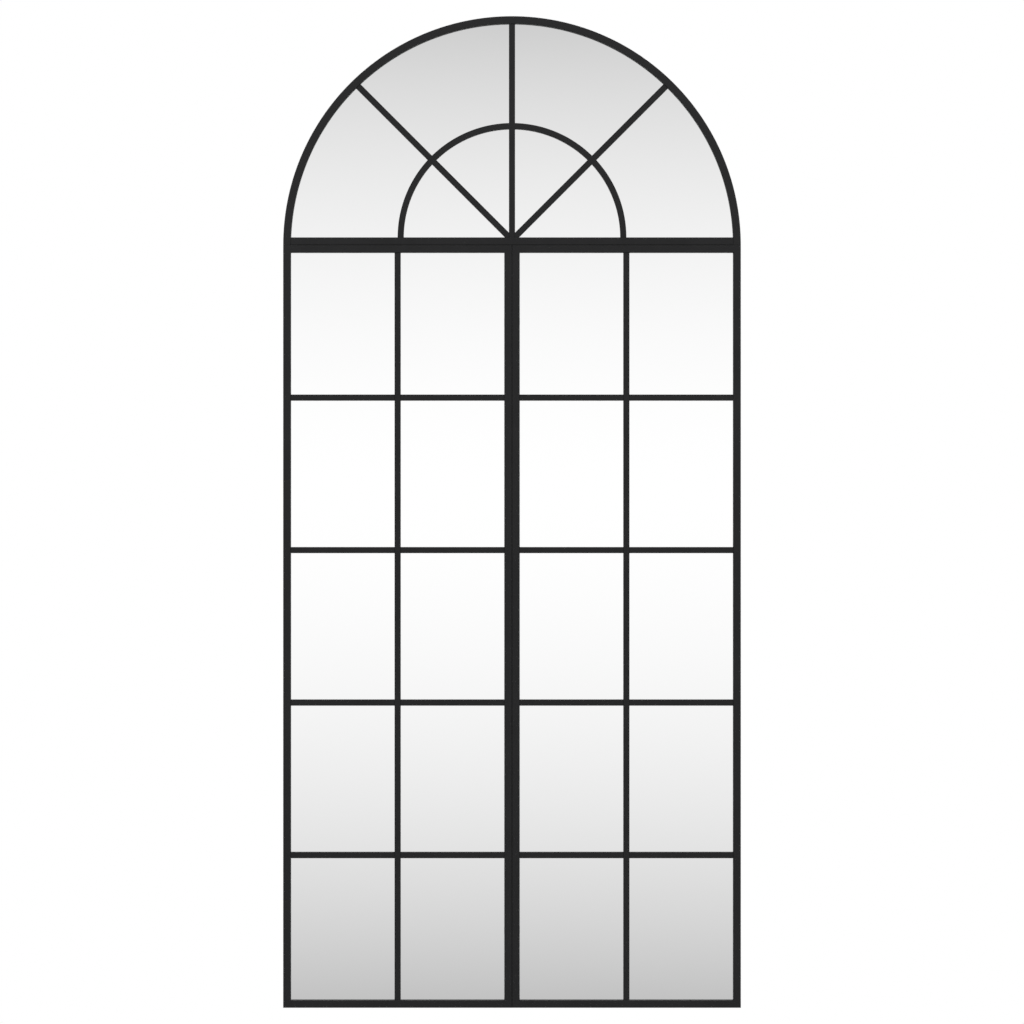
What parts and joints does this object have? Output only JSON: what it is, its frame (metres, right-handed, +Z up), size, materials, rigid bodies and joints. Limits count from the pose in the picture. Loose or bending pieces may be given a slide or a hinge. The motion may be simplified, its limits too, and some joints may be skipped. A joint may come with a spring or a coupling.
{
  "type": "arched window mirror",
  "caption": "Tall wall mirror framed like an arched window: two grilled panels under a half-round fanlight with a ring and spokes.",
  "frame": {"origin": "midway between the entry holes of the two keyhole plates, on the tubes' rear plane", "axes": "+X to the right as one looks at the mirror, +Y to the wall, +Z up"},
  "size_m": [0.9, 0.0299, 1.9499],
  "materials": {
    "black_powder_coat": "satin powder coat on welded mild steel",
    "silvered_glass": "clear float glass, silvered and painted on the back",
    "foam_tape": "closed-cell foam, matte",
    "hardboard": "pressed hardboard, plain",
    "zinc_plated_steel": "bright zinc plate",
    "bumper_rubber": "matte black rubber"
  },
  "bodies": {
    "root": {"arch_rim": "black_powder_coat", "arch_sill_rail": "black_powder_coat", "arch_ring_muntin": "black_powder_coat", "arch_upright_spoke": "black_powder_coat", "arch_left_spoke": "black_powder_coat", "arch_right_spoke": "black_powder_coat", "arch_mirror": "silvered_glass", "arch_mounting_tape": "foam_tape", "arch_backing_board": "hardboard", "arch_clips": "zinc_plated_steel", "left_outer_stile": "black_powder_coat", "left_inner_stile": "black_powder_coat", "left_top_rail": "black_powder_coat", "left_bottom_rail": "black_powder_coat", "left_upright_muntin": "black_powder_coat", "left_cross_muntin_1": "black_powder_coat", "left_cross_muntin_2": "black_powder_coat", "left_cross_muntin_3": "black_powder_coat", "left_cross_muntin_4": "black_powder_coat", "left_mirror": "silvered_glass", "left_mounting_tape": "foam_tape", "left_backing_board": "hardboard", "left_clips": "zinc_plated_steel", "right_outer_stile": "black_powder_coat", "right_inner_stile": "black_powder_coat", "right_top_rail": "black_powder_coat", "right_bottom_rail": "black_powder_coat", "right_upright_muntin": "black_powder_coat", "right_cross_muntin_1": "black_powder_coat", "right_cross_muntin_2": "black_powder_coat", "right_cross_muntin_3": "black_powder_coat", "right_cross_muntin_4": "black_powder_coat", "right_mirror": "silvered_glass", "right_mounting_tape": "foam_tape", "right_backing_board": "hardboard", "right_clips": "zinc_plated_steel", "joining_bolts": "zinc_plated_steel", "joining_nuts": "zinc_plated_steel", "keyhole_plates": "black_powder_coat", "wall_bumpers": "bumper_rubber"}
  },
  "joints": []
}
